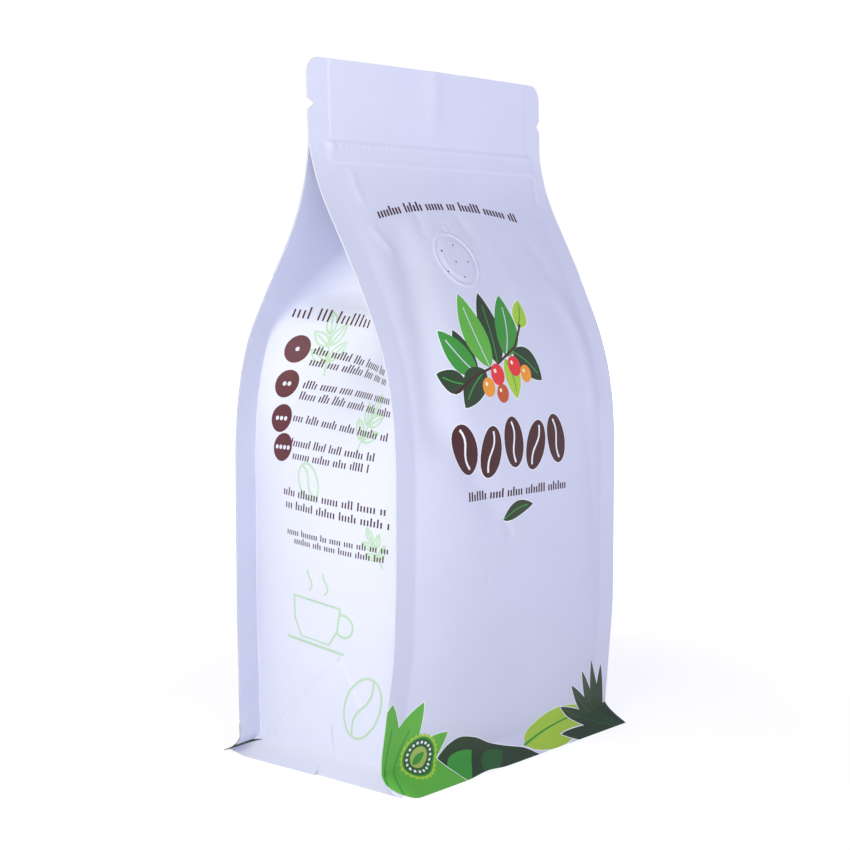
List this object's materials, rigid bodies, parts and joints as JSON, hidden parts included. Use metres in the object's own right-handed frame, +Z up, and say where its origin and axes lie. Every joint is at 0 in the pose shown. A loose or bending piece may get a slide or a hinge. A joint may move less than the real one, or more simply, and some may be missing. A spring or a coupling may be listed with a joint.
{
  "type": "flat-bottom coffee bag",
  "caption": "Filled, shut flat-bottom pouch of printed film with folded side gussets, edge seals, a skirt round its base, a press zip and a valve.",
  "frame": {"origin": "on the floor, below the middle of the bag's outer box", "axes": "+Z up, the front panel faces -Y, and the header's length lies along X"},
  "size_m": [0.1373, 0.0906, 0.2552],
  "materials": {
    "film": "matte printed laminate film"
  },
  "bodies": {
    "root": {"pouch": "film"}
  },
  "joints": []
}
